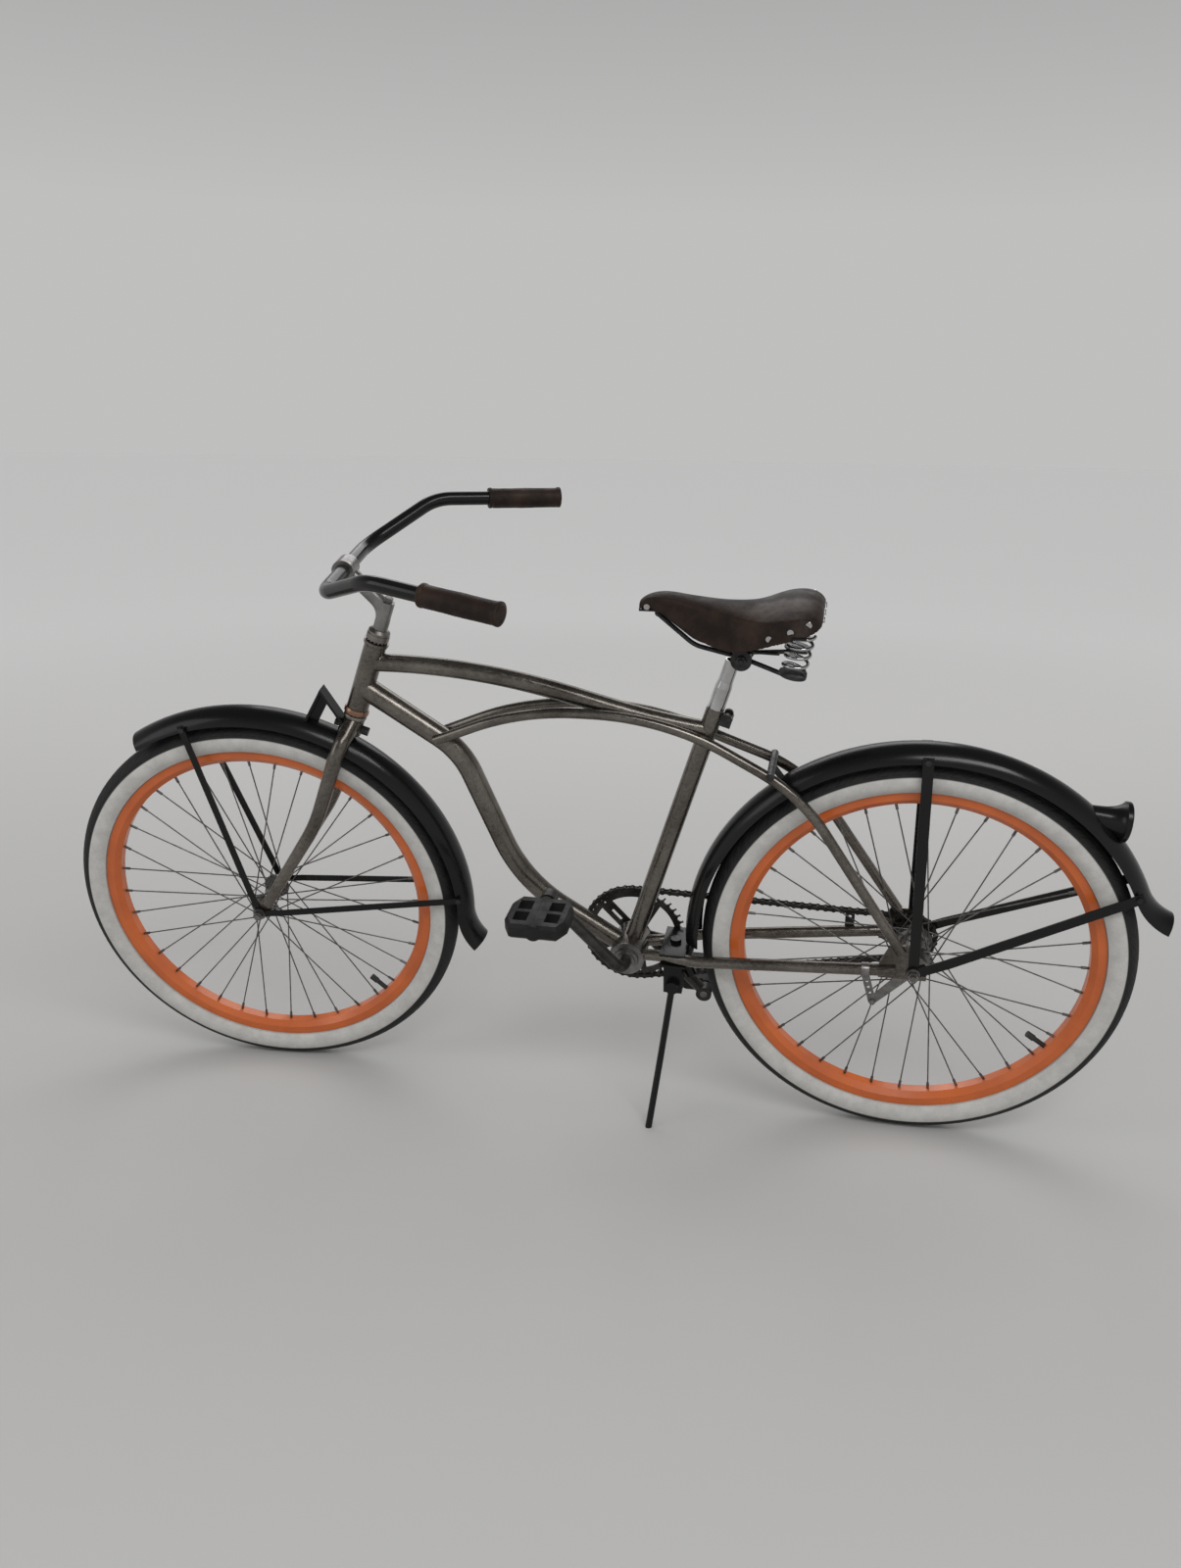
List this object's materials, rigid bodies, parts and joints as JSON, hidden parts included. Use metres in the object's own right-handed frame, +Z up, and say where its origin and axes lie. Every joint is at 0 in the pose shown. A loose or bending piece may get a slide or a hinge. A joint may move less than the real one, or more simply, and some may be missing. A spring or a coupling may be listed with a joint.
{
  "type": "beach cruiser bicycle",
  "caption": "Beach cruiser bicycle with curved frame tubes, swept bars, fenders, whitewall tyres, coaster brake and a sprung saddle, leaning on its side stand.",
  "frame": {"origin": "on the floor, under the middle of the bounding box, with the bicycle leaning on its stand", "axes": "+X to the front of the bicycle, +Y to its rider's left, +Z up"},
  "size_m": [1.786, 0.5972, 1.0226],
  "materials": {
    "bare_steel": "bare steel under clear lacquer",
    "black_paint": "gloss black",
    "orange_paint": "gloss orange",
    "chrome": "polished",
    "alloy": "satin",
    "steel": "plated steel",
    "dark_steel": "blackened and oily",
    "tyre": "black tread with white side walls",
    "rubber": "matt black",
    "leather": "worn dark brown",
    "pedal_plastic": "black resin",
    "lamp_lens": "red lens"
  },
  "bodies": {
    "frame": {"chain": "dark_steel", "head_tube": "bare_steel", "top_tube": "bare_steel", "down_tube": "bare_steel", "seat_tube": "bare_steel", "bottom_bracket_shell": "bare_steel", "arch_stays": "bare_steel", "chain_stays": "bare_steel", "frame_bridges": "bare_steel", "headset_cups": "steel", "bottom_bracket_cups": "steel", "rear_fender": "black_paint", "rear_fender_stays": "black_paint", "rear_fender_bolts": "steel", "tail_lamp_housing": "black_paint", "tail_lamp_lens": "lamp_lens", "kickstand_bracket": "black_paint", "seat_binder": "steel", "rear_axle_set": "steel", "brake_arm": "alloy", "brake_arm_strap": "alloy", "frame_bearing_balls": "steel"},
    "steering": {"fork_crown": "bare_steel", "fork_blades": "bare_steel", "headset_races": "steel", "stem": "alloy", "stem_bolts": "steel", "handlebar": "black_paint", "handlebar_grips": "leather", "front_fender": "black_paint", "front_fender_bracket": "black_paint", "front_fender_stays": "black_paint", "front_fender_bolts": "steel", "front_axle_set": "steel", "steering_bearing_balls": "steel"},
    "front_wheel": {"front_hub": "steel", "front_rim": "orange_paint", "front_tyre": "tyre", "front_spokes": "steel", "front_inner_tube": "rubber"},
    "rear_wheel": {"rear_hub": "steel", "rear_rim": "orange_paint", "rear_tyre": "tyre", "rear_spokes": "steel", "rear_inner_tube": "rubber"},
    "driver": {"rear_sprocket": "dark_steel"},
    "crankset": {"crank": "dark_steel", "chainring": "dark_steel", "crank_cones": "steel", "pedal_spindles": "steel"},
    "left_pedal": {"left_pedal": "pedal_plastic"},
    "right_pedal": {"right_pedal": "pedal_plastic"},
    "kickstand": {"kickstand_leg": "black_paint"},
    "seat": {"seat_post": "chrome", "saddle_clamp": "steel", "saddle_undercarriage": "dark_steel", "saddle_springs": "chrome"},
    "saddle": {"saddle_leather": "leather", "saddle_frame": "black_paint", "saddle_rivets": "chrome"}
  },
  "joints": [
    {"name": "steering_turn", "type": "hinge", "parent": "frame", "child": "steering", "pos_m": [0.36568, -0.02566, 0.68397], "axis": [-0.3575, 0.1621, 0.9197], "range_deg": [-66, 54]},
    {"name": "front_wheel_spin", "type": "hinge", "parent": "steering", "child": "front_wheel", "pos_m": [0.56204, -0.08306, 0.32571], "axis": [-0.0978, 0.9729, -0.2095], "continuous": true},
    {"name": "rear_wheel_spin", "type": "hinge", "parent": "frame", "child": "rear_wheel", "pos_m": [-0.52468, -0.0886, 0.32786], "axis": [-0.0002, 0.9848, -0.1736], "continuous": true},
    {"name": "crank_spin", "type": "hinge", "parent": "frame", "child": "crankset", "pos_m": [-0.07187, -0.09555, 0.28802], "axis": [-0.0002, 0.9848, -0.1736], "continuous": true, "deforming": ["chain"]},
    {"name": "driver_spin", "type": "hinge", "parent": "frame", "child": "driver", "pos_m": [-0.52468, -0.0886, 0.32786], "axis": [-0.0002, 0.9848, -0.1736], "continuous": true},
    {"name": "left_pedal_spin", "type": "hinge", "parent": "crankset", "child": "left_pedal", "pos_m": [0.04418, -0.0001, 0.39733], "axis": [-0.0002, 0.9848, -0.1736], "continuous": true},
    {"name": "right_pedal_spin", "type": "hinge", "parent": "crankset", "child": "right_pedal", "pos_m": [-0.18792, -0.191, 0.17872], "axis": [-0.0002, 0.9848, -0.1736], "continuous": true},
    {"name": "kickstand_fold", "type": "hinge", "parent": "frame", "child": "kickstand", "pos_m": [-0.14877, -0.06641, 0.24027], "axis": [-0.0002, 0.9848, -0.1736], "range_deg": [0, 88]},
    {"name": "seat_height", "type": "slide", "parent": "frame", "child": "seat", "axis": [-0.2948, 0.1659, 0.9411], "range_m": [-0.025, 0.06]},
    {"name": "saddle_rock", "type": "hinge", "parent": "seat", "child": "saddle", "pos_m": [-0.12012, 0.00517, 0.85923], "axis": [-0.0002, 0.9848, -0.1736], "range_deg": [-4, 0], "stiffness_Nm_per_rad": 1500, "deforming": ["saddle_springs"]}
  ],
  "couplings": [
    {"joint": "driver_spin", "follows": "crank_spin", "ratio": 2.3333}
  ]
}
